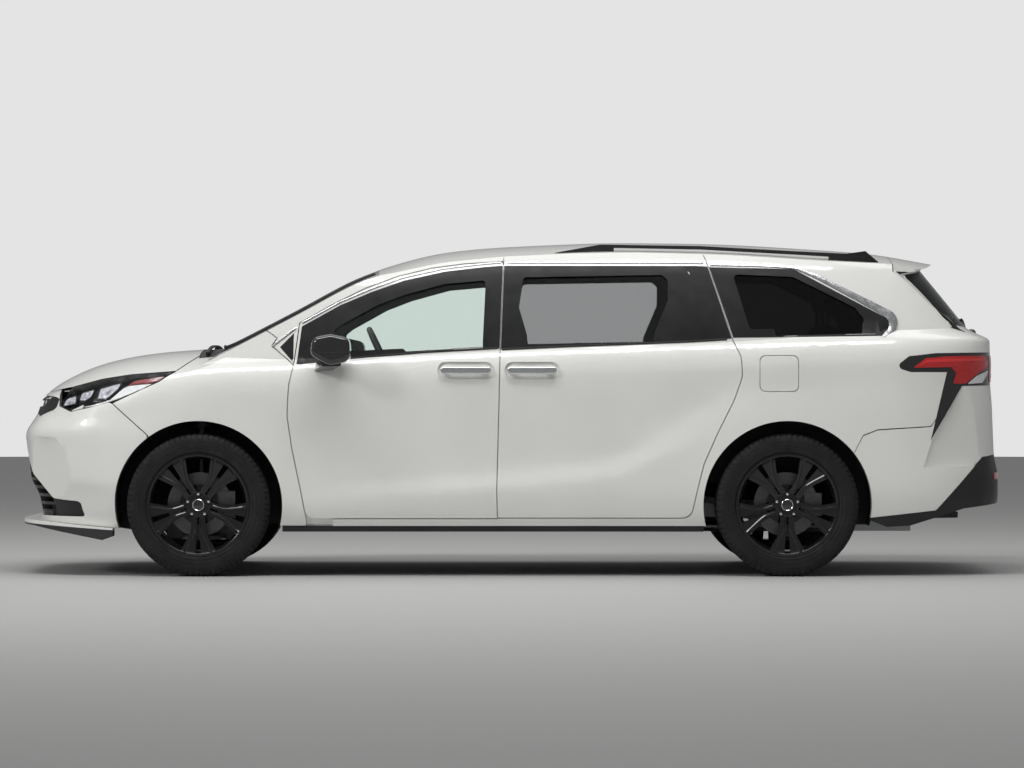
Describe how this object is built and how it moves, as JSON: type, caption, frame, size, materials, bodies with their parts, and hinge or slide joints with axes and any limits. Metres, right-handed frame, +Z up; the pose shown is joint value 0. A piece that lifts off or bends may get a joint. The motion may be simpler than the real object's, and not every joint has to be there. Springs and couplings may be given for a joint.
{
  "type": "minivan",
  "caption": "Hollow minivan body with hinged front doors, hood and liftgate, glazed cabin with seats, and steered and spinning wheels.",
  "frame": {"origin": "on the ground below the middle of the length and of the width", "axes": "-X towards the nose, +Y towards the car's right side, +Z up"},
  "size_m": [5.184, 2.37, 1.7615],
  "materials": {
    "paint": "gloss",
    "clear_glass": "gloss",
    "dark_glass": "gloss",
    "lamp_clear": "gloss",
    "lamp_red": "gloss",
    "black_plastic": "matte",
    "black_gloss": "gloss",
    "chrome": "polished",
    "steel": "satin",
    "aluminium": "cast",
    "interior_plastic": "matte",
    "seat_fabric": "matte",
    "wheel_black": "gloss",
    "tyre": "matte"
  },
  "bodies": {
    "body": {"side_panel_left": "paint", "side_panel_right": "paint", "front_fenders": "paint", "cowl": "black_plastic", "windshield": "clear_glass", "roof_panel": "paint", "roof_rails": "black_plastic", "front_bumper": "paint", "front_grille": "black_plastic", "front_lip": "black_plastic", "headlamps": "lamp_clear", "rear_bumper": "paint", "rear_valance": "black_plastic", "tail_lamps": "lamp_red", "sliding_doors": "paint", "sliding_door_handles": "chrome", "rear_side_windows": "dark_glass", "sill_trims": "black_plastic", "underbody": "steel", "dashboard": "interior_plastic", "front_seats": "seat_fabric", "middle_seats": "seat_fabric", "rear_seats": "seat_fabric", "engine_block": "aluminium", "exhaust": "steel", "front_suspension": "steel", "rear_suspension": "steel"},
    "front_door_left": {"front_door_left": "paint", "front_window_left": "clear_glass", "mirror_left": "black_gloss", "front_handle_left": "chrome"},
    "front_door_right": {"front_door_right": "paint", "front_window_right": "clear_glass", "mirror_right": "black_gloss", "front_handle_right": "chrome"},
    "hood": {"hood": "paint"},
    "liftgate": {"liftgate": "paint", "liftgate_window": "dark_glass", "liftgate_lamps": "lamp_red"},
    "knuckle_left": {"knuckle_left": "steel"},
    "knuckle_right": {"knuckle_right": "steel"},
    "steering_wheel": {"steering_wheel": "interior_plastic"},
    "wheel_front_left": {"rim_front_left": "wheel_black", "tyre_front_left": "tyre"},
    "wheel_front_right": {"rim_front_right": "wheel_black", "tyre_front_right": "tyre"},
    "wheel_rear_left": {"rim_rear_left": "wheel_black", "tyre_rear_left": "tyre"},
    "wheel_rear_right": {"rim_rear_right": "wheel_black", "tyre_rear_right": "tyre"}
  },
  "joints": [
    {"name": "front_door_left_hinge", "type": "hinge", "parent": "body", "child": "front_door_left", "pos_m": [-1.196, -0.954, 0.8], "axis": [0, 0, -1], "range_deg": [0, 68]},
    {"name": "front_door_right_hinge", "type": "hinge", "parent": "body", "child": "front_door_right", "pos_m": [-1.196, 0.954, 0.8], "axis": [0, 0, 1], "range_deg": [0, 68]},
    {"name": "hood_hinge", "type": "hinge", "parent": "body", "child": "hood", "pos_m": [-1.6, 0, 1.18], "axis": [0, 1, 0], "range_deg": [0, 50]},
    {"name": "liftgate_hinge", "type": "hinge", "parent": "body", "child": "liftgate", "pos_m": [1.993, 0, 1.684], "axis": [0, -1, 0], "range_deg": [0, 85]},
    {"name": "steer_left", "type": "hinge", "parent": "body", "child": "knuckle_left", "pos_m": [-1.617, -0.775, 0.205], "axis": [0, 0.1829, 0.9831], "range_deg": [-35, 35]},
    {"name": "steer_right", "type": "hinge", "parent": "body", "child": "knuckle_right", "pos_m": [-1.617, 0.775, 0.205], "axis": [0, -0.1829, 0.9831], "range_deg": [-35, 35]},
    {"name": "steering_wheel_turn", "type": "hinge", "parent": "body", "child": "steering_wheel", "pos_m": [-0.672, -0.385, 1.13], "axis": [0.9063, 0, 0.4226], "range_deg": [-502, 502]},
    {"name": "spin_front_left", "type": "hinge", "parent": "knuckle_left", "child": "wheel_front_left", "pos_m": [-1.617, -0.8575, 0.3715], "axis": [0, 1, 0], "continuous": true},
    {"name": "spin_front_right", "type": "hinge", "parent": "knuckle_right", "child": "wheel_front_right", "pos_m": [-1.617, 0.8575, 0.3715], "axis": [0, 1, 0], "continuous": true},
    {"name": "spin_rear_left", "type": "hinge", "parent": "body", "child": "wheel_rear_left", "pos_m": [1.443, -0.8575, 0.3715], "axis": [0, 1, 0], "continuous": true},
    {"name": "spin_rear_right", "type": "hinge", "parent": "body", "child": "wheel_rear_right", "pos_m": [1.443, 0.8575, 0.3715], "axis": [0, 1, 0], "continuous": true}
  ],
  "couplings": [
    {"joint": "steer_right", "follows": "steer_left", "ratio": 1},
    {"joint": "steering_wheel_turn", "follows": "steer_left", "ratio": 14.3}
  ]
}
